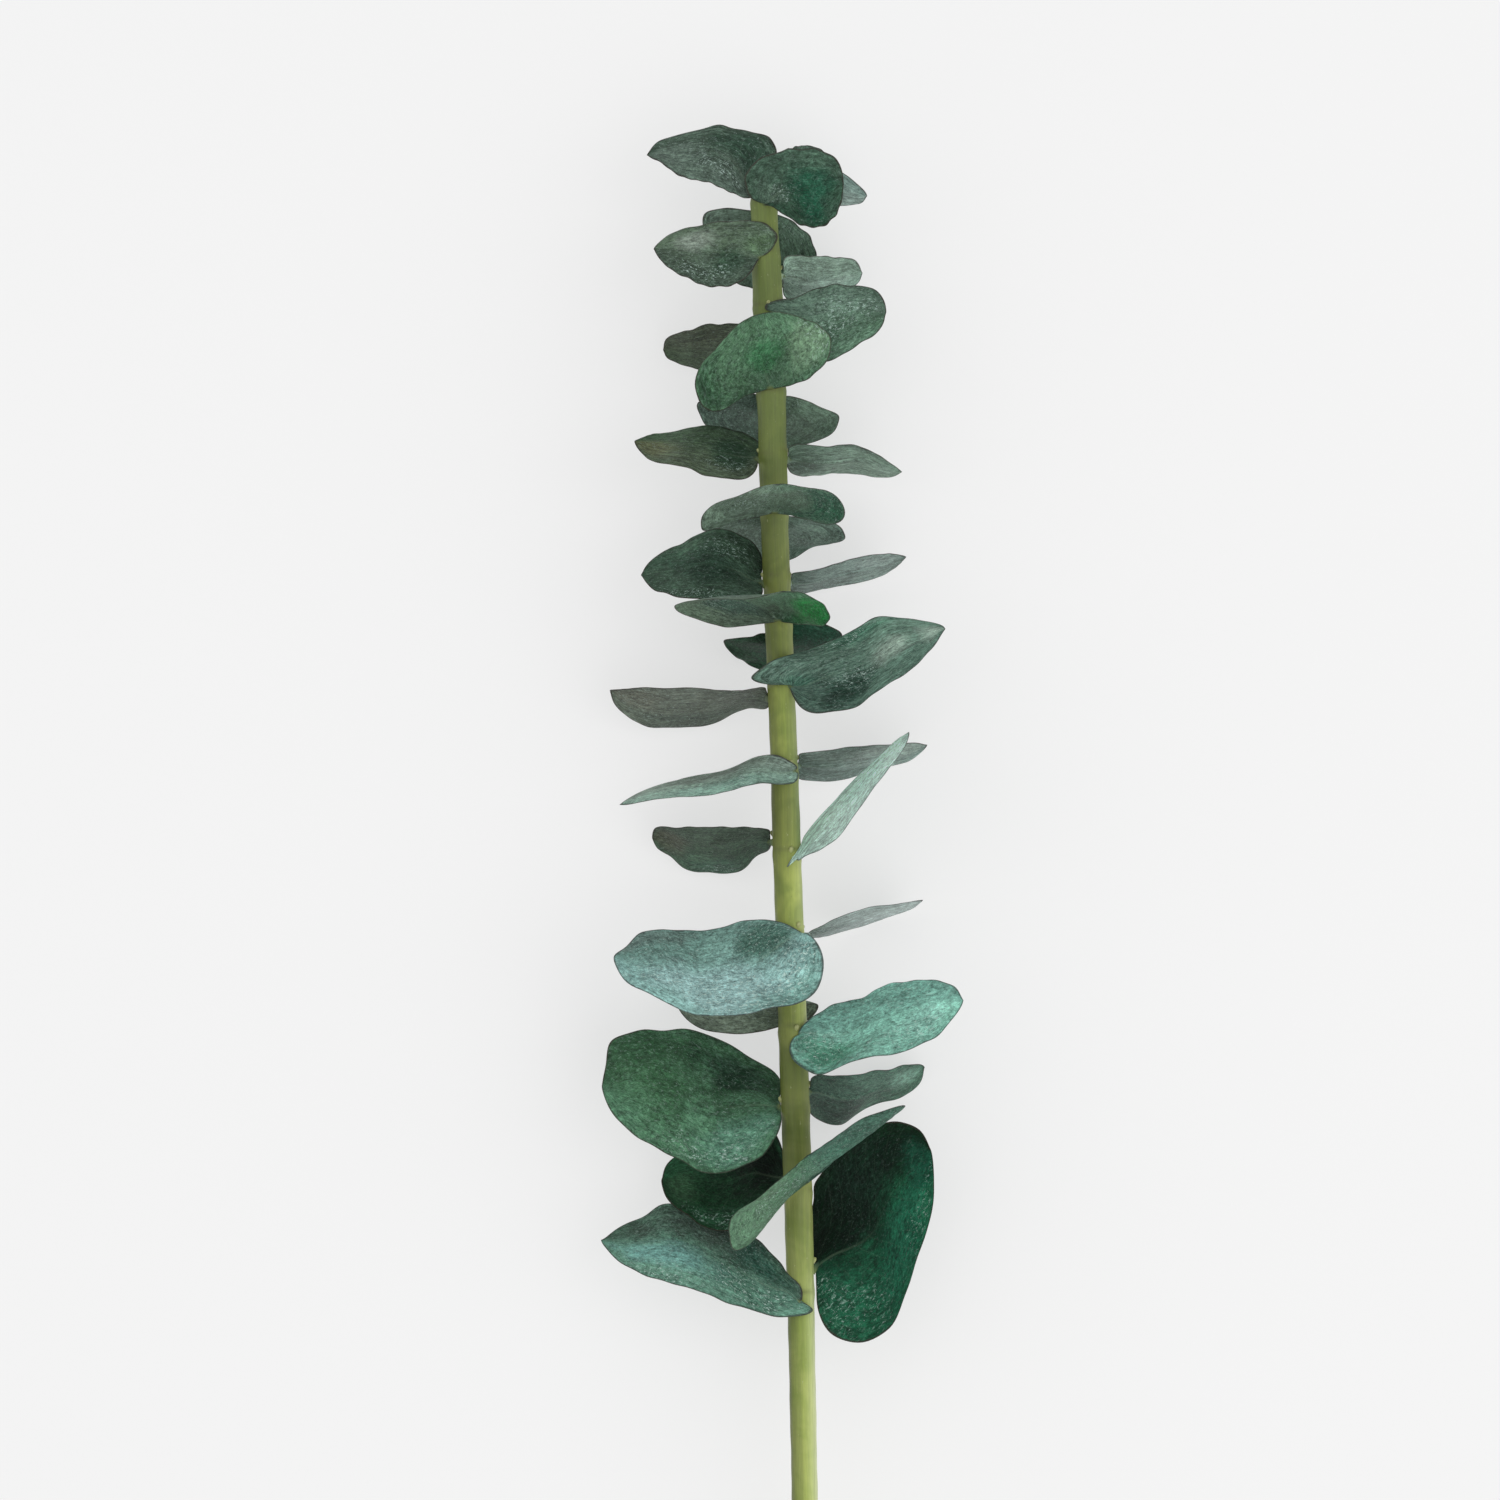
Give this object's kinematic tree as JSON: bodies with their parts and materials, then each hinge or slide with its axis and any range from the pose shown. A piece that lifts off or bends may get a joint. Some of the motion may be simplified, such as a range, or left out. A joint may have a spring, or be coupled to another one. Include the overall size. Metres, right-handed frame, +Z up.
{
  "type": "eucalyptus branch",
  "caption": "Cut branch of round-leaved eucalyptus lying down: one bare woody-green stem with opposite pairs of thick blue-green stalkless leaves",
  "frame": {"origin": "centre of the bounding box at its lowest level, the surface the branch lies on", "axes": "+Y along the stem from the cut end toward the tip; +Z up, away from the surface it lies on; +X to the right seen from above"},
  "size_m": [0.0758, 0.3624, 0.056],
  "materials": {
    "bark": "satin",
    "leaf_pale": "matte",
    "leaf_mid": "matte",
    "leaf_dark": "matte"
  },
  "bodies": {
    "root": {"stem": "bark", "leaf_01_left": "leaf_pale", "leaf_01_right": "leaf_dark", "leaf_02_front": "leaf_mid", "leaf_02_back": "leaf_dark", "leaf_03_left": "leaf_mid", "leaf_03_right": "leaf_dark", "leaf_04_right": "leaf_pale", "leaf_04_left": "leaf_dark", "leaf_05_left": "leaf_pale", "leaf_05_right": "leaf_mid", "leaf_06_right": "leaf_pale", "leaf_06_left": "leaf_dark", "leaf_07_left": "leaf_pale", "leaf_07_right": "leaf_mid", "leaf_08_right": "leaf_mid", "leaf_08_left": "leaf_dark", "leaf_09_front": "leaf_mid", "leaf_09_back": "leaf_dark", "leaf_10_left": "leaf_mid", "leaf_10_right": "leaf_pale", "leaf_11_front": "leaf_mid", "leaf_11_back": "leaf_mid", "leaf_12_left": "leaf_mid", "leaf_12_right": "leaf_mid", "leaf_13_front": "leaf_mid", "leaf_13_back": "leaf_dark", "leaf_14_right": "leaf_mid", "leaf_14_left": "leaf_dark", "leaf_15_left": "leaf_mid", "leaf_15_right": "leaf_pale", "leaf_16_back": "leaf_dark", "leaf_16_front": "leaf_dark", "leaf_17_left": "leaf_mid", "leaf_17_right": "leaf_pale", "leaf_18_back": "leaf_dark"}
  },
  "joints": []
}
